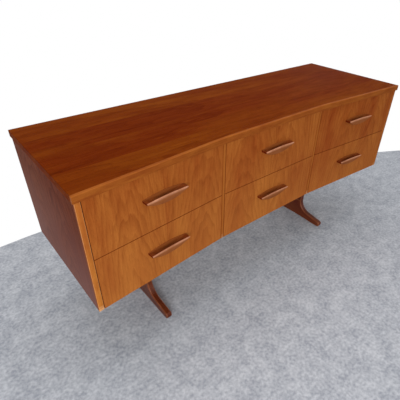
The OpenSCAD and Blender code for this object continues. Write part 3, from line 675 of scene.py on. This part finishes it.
def handle_section(at):
    """Outline of the handle across its length, with points as corner() gives them.

    It runs from the drawer's face under the belly, up the front and back over the scoop.
    """
    # At the two ends the wall and the scoop keep a hair's height, so that no corner folds over
    rise = max(arc_depth(at, HALF_LENGTH, RISE), 0.0003)
    scoop = max(arc_depth(at, HALF_LENGTH - SCOOP_IN, SCOOP), 0.0002)
    lift = arc_depth(at, HALF_LENGTH, LIP_ARCH)
    belly = END_DROP + arc_depth(at, HALF_LENGTH, BELLY)
    rake = RAKE * belly / (END_DROP + BELLY)
    # Radii of the corners, which dwindle towards the ends of the handle
    lower = min(0.0045, belly * 0.4)
    upper = min(0.0018, belly * 0.3)
    inner = min(0.001, scoop * 0.5)
    fillet = min(0.005, scoop * 0.6)
    crown = min(0.001, rise * 0.4)

    # Under the belly and up the front, which swells a little towards the lip and pales towards it,
    # rubbed and painted with the lip's highlight
    lean = -8
    outline = [(0.0, -belly, 0.0, 0.0)]
    outline += corner(REACH - rake - lower, lower - belly, lower, -90, lean, worn_and_lit=0.1)
    for set_back, height, worn_and_lit in (
            (0.0010, -min(0.007, belly * 0.55), 0.1),
            (0.0005, lift / 2 - min(0.004, belly * 0.45), 0.6)):
        outline.append((REACH - set_back, height, worn_and_lit, 0.0))
    outline += corner(REACH - upper, lift - upper, upper, lean, 90, worn_and_lit=1.0)
    # Over the lip, through the scoop and up the back wall, darkened there as painted shade
    outline += corner(REACH - LIP + inner, lift - inner, inner, 90, 180, worn_and_lit=0.2, wax_and_shade_share=0.4, steps=2)
    outline += corner(REACH - LIP - fillet, fillet - scoop, fillet, 0, -90, wax_and_shade_share=0.6)
    outline += corner(BACK_WALL + fillet, fillet - scoop, fillet, -90, -180, wax_and_shade_share=0.35)
    outline += corner(BACK_WALL - crown, rise - crown, crown, 0, 90, wax_and_shade_share=0.1, steps=2)
    outline.append((0.0, rise, 0.0, 0.6))
    return outline


def handle_shape(place, stations=48):
    """The handle's mesh, set in its place; the lip is at height 0 and the drawer's face at y = 0.

    The stations stand closer together towards the ends, whose end faces are darkened as painted shade.
    """
    # Painted shade on the end faces
    end_painted_shade = 0.9
    shape = bmesh.new()
    arris = shape.verts.layers.float.new("arris")
    joint = shape.verts.layers.float.new("joint")
    rows = []
    for step in range(stations + 1):
        at = -HALF_LENGTH * math.cos(math.pi * step / stations)
        end_grain = step in (0, stations)
        row = []
        for out, up, worn_and_lit, wax_and_shade_share in handle_section(at):
            point = shape.verts.new(place @ Vector((at, -out, up)))
            point[arris] = 0.0 if end_grain else worn_and_lit
            point[joint] = end_painted_shade if end_grain else wax_and_shade_share
            row.append(point)
        rows.append(row)
    skin(shape, rows)
    bmesh.ops.remove_doubles(shape, verts=shape.verts, dist=1e-6)
    bmesh.ops.dissolve_degenerate(shape, edges=shape.edges, dist=1e-6)
    bmesh.ops.recalc_face_normals(shape, faces=shape.faces)
    return shape


def handle_place(row, bay):
    """The place of a handle's middle on its drawer's front, turned to lie along it."""
    close = 1e-4
    lip_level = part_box(f"{row}_{bay}_handle")[1][2] - RISE
    corners = [vertex.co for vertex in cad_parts[f"{row}_{bay}_front"].data.vertices]
    left_x = min(point.x for point in corners)
    right_x = max(point.x for point in corners)
    left_y = min(point.y for point in corners if point.x < left_x + close)
    right_y = min(point.y for point in corners if point.x > right_x - close)
    middle = ((left_x + right_x) / 2, (left_y + right_y) / 2, lip_level)
    turn = math.atan2(right_y - left_y, right_x - left_x)
    return Matrix.Translation(middle) @ Matrix.Rotation(turn, 4, "Z")


for row, bay in drawers:
    pull = handle_shape(handle_place(row, bay))
    make_piece(f"{row}_{bay}_pull", pull, handle_wood, f"{row}_{bay}_drawer",
               f"{row}_{bay}_handle")


# ---- Screws -------------------------------------------------------------------
# Slotted steel wood screws hold the runners, the bearers and the back; a pair of
# round-headed ones holds each handle. Only the lower part of the shank is threaded.

def screw_finish():
    """Steel that has tarnished in patches."""
    material = new_material("screw steel")
    tree = material.node_tree
    spot = add(tree, "ShaderNodeTexCoord").outputs["Object"]
    tarnish = noise(tree, spot, 420.0, detail=3.0)
    brushed = noise(tree, spot, 2600.0, detail=1.0)
    colour = mixed(tree, spread(tree, tarnish, 0.42, 0.68), stain(176, 172, 164), stain(112, 98, 82))
    rough = spread(tree, tarnish, 0.4, 0.7, start=0.28, end=0.55)
    bump = add(tree, "ShaderNodeBump", {"Height": brushed, "Strength": 0.2, "Distance": 0.00005})
    return surface(material, {
        "Base Color": colour, "Roughness": rough, "Metallic": 1.0, "Normal": bump.outputs[0]})


def drum(tree, upper, lower, depth, sides=24):
    """A closed cone or cylinder that stands on z = 0."""
    return add(tree, "GeometryNodeMeshCone", {
        "Vertices": sides, "Radius Top": upper, "Radius Bottom": lower, "Depth": depth}).outputs["Mesh"]


def block(tree, x, y, z):
    """A block with its middle at the origin."""
    return add(tree, "GeometryNodeMeshCube", {"Size": vector(tree, x, y, z)}).outputs["Mesh"]


def lifted(tree, mesh, height):
    """A mesh moved up."""
    return add(tree, "GeometryNodeTransform", {
        "Geometry": mesh, "Translation": vector(tree, z=height)}).outputs[0]


def cut_away(tree, mesh, cutter):
    """A mesh with what lies inside a cutter taken out of it."""
    return add(tree, "GeometryNodeMeshBoolean", {
        "Mesh 1": mesh, "Mesh 2": cutter}, operation="DIFFERENCE").outputs["Mesh"]


def screw_tree():
    """A slotted screw on every point of a mesh, turned by the point's own "aim".

    Each points up its z axis, with z = 0 at the top of a flat head or the seat of a round one.
    """
    inputs = (
        ("Places", "Geometry", None),
        ("Length", "Float", 0.02),
        ("Head Radius", "Float", 0.0035),
        ("Head Height", "Float", 0.00175),
        ("Round Head", "Bool", False),
        ("Shank Radius", "Float", 0.00175),
        ("Core Radius", "Float", 0.0012),
        ("Plain Share", "Float", 0.4),
        ("Pitch", "Float", 0.0016),
        ("Slot Width", "Float", 0.0008),
        ("Slot Depth", "Float", 0.0009),
        ("Seed", "Int", 1),
        ("Finish", "Material", None),
    )
    tree = node_group("slotted screws", "GeometryNodeTree", inputs, (("Screws", "Geometry"),))
    given = add(tree, "NodeGroupInput").outputs
    head, rise = given["Head Radius"], given["Head Height"]
    past_head = maths(tree, "MULTIPLY", head, 3.0)

    # Heads: a cone let into the wood, or half a flattened ball that stands on it
    flat = drum(tree, given["Shank Radius"], head, rise)
    ball = add(tree, "GeometryNodeMeshUVSphere", {"Segments": 24, "Rings": 12, "Radius": head})
    squash = vector(tree, 1.0, 1.0, maths(tree, "DIVIDE", rise, head))
    ball = add(tree, "GeometryNodeTransform", {"Geometry": ball.outputs["Mesh"], "Scale": squash})
    half = block(tree, past_head, past_head, maths(tree, "MULTIPLY", rise, 2.0))
    dome = cut_away(tree, ball.outputs[0], lifted(tree, half, rise))
    blank = add(tree, "GeometryNodeSwitch", {
        "Switch": given["Round Head"], "False": flat, "True": dome}, input_type="GEOMETRY").outputs[0]
    slot = block(tree, past_head, given["Slot Width"], maths(tree, "MULTIPLY", given["Slot Depth"], 2.0))
    head_top = maths(tree, "MULTIPLY", given["Round Head"], maths(tree, "MULTIPLY", rise, -1.0))
    slotted = cut_away(tree, blank, lifted(tree, slot, head_top))

    # Shank: plain above, then a core with the thread wound on it, and a point
    shank, core = given["Shank Radius"], given["Core Radius"]
    blunt = 0.0002
    point = maths(tree, "MULTIPLY", shank, 2.0)
    body = maths(tree, "SUBTRACT", given["Length"], point)
    plain = maths(tree, "MULTIPLY", body, given["Plain Share"])
    threaded = maths(tree, "SUBTRACT", body, plain)
    under_flat = maths(tree, "MULTIPLY", rise, 0.95)
    start = maths(tree, "MULTIPLY", under_flat, maths(tree, "SUBTRACT", 1.0, given["Round Head"]))
    neck = lifted(tree, drum(tree, shank, shank, maths(tree, "SUBTRACT", plain, start)), start)
    stem = lifted(tree, drum(tree, core, core, threaded, sides=16), plain)
    tip = lifted(tree, drum(tree, blunt, core, point, sides=16), body)
    wind = add(tree, "GeometryNodeCurveSpiral", {
        "Resolution": 16, "Rotations": maths(tree, "DIVIDE", threaded, given["Pitch"]),
        "Start Radius": core, "End Radius": core, "Height": threaded}).outputs[0]
    crest = add(tree, "GeometryNodeCurvePrimitiveCircle", {
        "Resolution": 3, "Radius": maths(tree, "SUBTRACT", shank, core)}, mode="RADIUS").outputs["Curve"]
    thread = add(tree, "GeometryNodeCurveToMesh", {
        "Curve": wind, "Profile Curve": crest, "Fill Caps": True}).outputs[0]
    screw = add(tree, "GeometryNodeJoinGeometry")
    for part in (slotted, neck, stem, tip, lifted(tree, thread, plain)):
        tree.links.new(part, screw.inputs[0])

    # Each is driven home with its slot lying at its own angle
    aim = add(tree, "GeometryNodeInputNamedAttribute", {"Name": "aim"}, data_type="FLOAT_VECTOR")
    aim = add(tree, "FunctionNodeEulerToRotation", {0: aim.outputs["Attribute"]}).outputs[0]
    roll = add(tree, "FunctionNodeRandomValue", {3: math.tau, "Seed": given["Seed"]}, data_type="FLOAT")
    roll = add(tree, "FunctionNodeEulerToRotation", {0: vector(tree, z=roll.outputs[1])}).outputs[0]
    turned = add(tree, "FunctionNodeRotateRotation", {0: aim, 1: roll}, rotation_space="LOCAL").outputs[0]
    placed = add(tree, "GeometryNodeInstanceOnPoints", {
        "Points": given["Places"], "Instance": screw.outputs[0], "Rotation": turned}).outputs[0]
    real = add(tree, "GeometryNodeRealizeInstances", {"Geometry": placed}).outputs[0]
    coated = add(tree, "GeometryNodeSetMaterial", {"Geometry": real, "Material": given["Finish"]}).outputs[0]
    add(tree, "NodeGroupOutput", {"Screws": coated})
    return tree


def screws_in(node):
    """Each screw of a CAD node, as (middle of its head, direction, length)."""
    shape = merged(node)
    left = set(shape.verts)
    found = []
    while left:
        reached = [left.pop()]
        for vertex in reached:
            for edge in vertex.link_edges:
                if edge.other_vert(vertex) in left:
                    left.remove(edge.other_vert(vertex))
                    reached.append(edge.other_vert(vertex))
        faces = {face for vertex in reached for face in vertex.link_faces}
        head = max(faces, key=lambda face: face.calc_area())
        middle = sum((vertex.co for vertex in head.verts), Vector()) / len(head.verts)
        way = -head.normal
        found.append((middle, way, max((vertex.co - middle).dot(way) for vertex in reached)))
    shape.free()
    return sorted(found, key=lambda screw: tuple(round(part, 4) for part in screw[0]))


def drive_screws(name, node, body, seed, **sizes):
    """Puts slotted screws in the places of a CAD node's, as one piece.

    Sizes are the slotted screws' own values, spelt with underscores.
    """
    screws = screws_in(node)
    # The CAD gives the top of a round head, and the screw tree wants its seat
    seated = sizes["head_height"] if sizes.get("round_head") else 0.0
    together = bmesh.new()
    for length in sorted({round(screw[2], 4) for screw in screws}):
        alike = [screw for screw in screws if round(screw[2], 4) == length]
        places = bpy.data.meshes.new(name)
        places.from_pydata([middle + way * seated for middle, way, _ in alike], [], [])
        aim = places.attributes.new("aim", "FLOAT_VECTOR", "POINT")
        for index, (_, way, _) in enumerate(alike):
            aim.data[index].vector = way.to_track_quat("Z", "Y").to_euler()
        holder = bpy.data.objects.new(name, places)
        bpy.context.collection.objects.link(holder)
        turning = holder.modifiers.new("screws", "NODES")
        turning.node_group = SLOTTED_SCREWS
        wanted = {"Length": length - seated, "Seed": seed, "Finish": screw_steel}
        wanted.update({size.replace("_", " ").title(): value for size, value in sizes.items()})
        for socket in SLOTTED_SCREWS.interface.items_tree:
            if socket.name in wanted:
                turning[socket.identifier] = wanted[socket.name]
        made = bpy.data.meshes.new_from_object(holder.evaluated_get(bpy.context.evaluated_depsgraph_get()))
        holder.modifiers.remove(turning)
        together.from_mesh(made)
        bpy.data.objects.remove(holder)
        bpy.data.meshes.remove(places)
        bpy.data.meshes.remove(made)
    make_piece(name, together, screw_steel, body, node)


screw_steel = screw_finish()
SLOTTED_SCREWS = screw_tree()
HANDLE_SCREW = dict(
    head_radius=0.004, head_height=0.0024, round_head=True, shank_radius=0.002, core_radius=0.0015,
    plain_share=0.5, pitch=0.0018, slot_width=0.001, slot_depth=0.0012)
drive_screws("case_screws", "wood_screws", "case", seed=1)
for seed, (row, bay) in enumerate(drawers, start=2):
    drive_screws(f"{row}_{bay}_pull_screws", f"{row}_{bay}_handle_screws", f"{row}_{bay}_drawer", seed,
                 **HANDLE_SCREW)


# ---- Room, light and camera ---------------------------------------------------
# A pale concrete floor with a round far edge, and white beyond it. A big soft lamp lights
# the dresser from the front left, another from above, and a low one from the far side.

def floor_finish():
    """Concrete that is clouded and finely speckled."""
    material = new_material("concrete")
    tree = material.node_tree
    spot = add(tree, "ShaderNodeTexCoord").outputs["Object"]
    cloud = maths(tree, "MULTIPLY", noise(tree, spot, 14.0, detail=8.0, roughness=0.8), 0.6)
    clouded = maths(tree, "MULTIPLY_ADD", noise(tree, spot, 90.0, detail=3.0), 0.4, cloud)
    colour = mixed(tree, spread(tree, clouded, 0.4, 0.6), stain(150, 154, 163), stain(193, 196, 202))
    return surface(material, {"Base Color": colour, "Roughness": 0.9, "Specular IOR Level": 0.1})


bpy.ops.mesh.primitive_circle_add(
    vertices=160, radius=5.0, fill_type="NGON", location=(-0.75, -4.29, -0.0005))
floor = bpy.context.object
floor.name = "floor"
floor.data.materials.append(floor_finish())


def white_room():
    """White wherever it is seen or mirrored, and dimmer as a light."""
    as_light = 0.5
    world = bpy.data.worlds.new("room")
    world.use_nodes = True
    tree = world.node_tree
    tree.nodes.clear()
    ray = add(tree, "ShaderNodeLightPath").outputs
    mirrored = maths(tree, "MAXIMUM", ray["Is Glossy Ray"], ray["Is Transmission Ray"])
    seen = maths(tree, "MAXIMUM", ray["Is Camera Ray"], mirrored)
    strength = maths(tree, "MULTIPLY_ADD", seen, 1 - as_light, as_light)
    white = add(tree, "ShaderNodeBackground", {"Color": (1, 1, 1, 1), "Strength": strength})
    add(tree, "ShaderNodeOutputWorld", {"Surface": white.outputs[0]})
    return world


def lamp(name, place, size, power):
    """A square soft lamp aimed at the middle of the case."""
    aim_height = 0.45
    light = bpy.data.lights.new(name, "AREA")
    light.size = size
    light.energy = power
    holder = bpy.data.objects.new(name, light)
    holder.location = place
    holder.visible_camera = False
    holder.rotation_euler = (Vector((0, 0, aim_height)) - Vector(place)).to_track_quat("-Z", "Y").to_euler()
    bpy.context.collection.objects.link(holder)


bpy.context.scene.world = white_room()
lamp("window", place=(-2.3, -2.9, 1.7), size=1.5, power=84)
lamp("ceiling", place=(-0.2, 0.1, 3.2), size=2.4, power=38)
lamp("far side", place=(2.9, 1.7, 0.42), size=0.8, power=24)

lens = bpy.data.cameras.new("camera")
lens.sensor_width = 36
lens.lens = 33.365
lens.shift_x = -0.0578
lens.shift_y = 0.0187
camera = bpy.data.objects.new("camera", lens)
camera.location = (-0.9735, -1.0196, 1.2018)
camera.rotation_euler = [math.radians(angle) for angle in (55.582, -1.495, -40.578)]
bpy.context.collection.objects.link(camera)
bpy.context.scene.camera = camera
bpy.context.scene.view_settings.view_transform = "Standard"
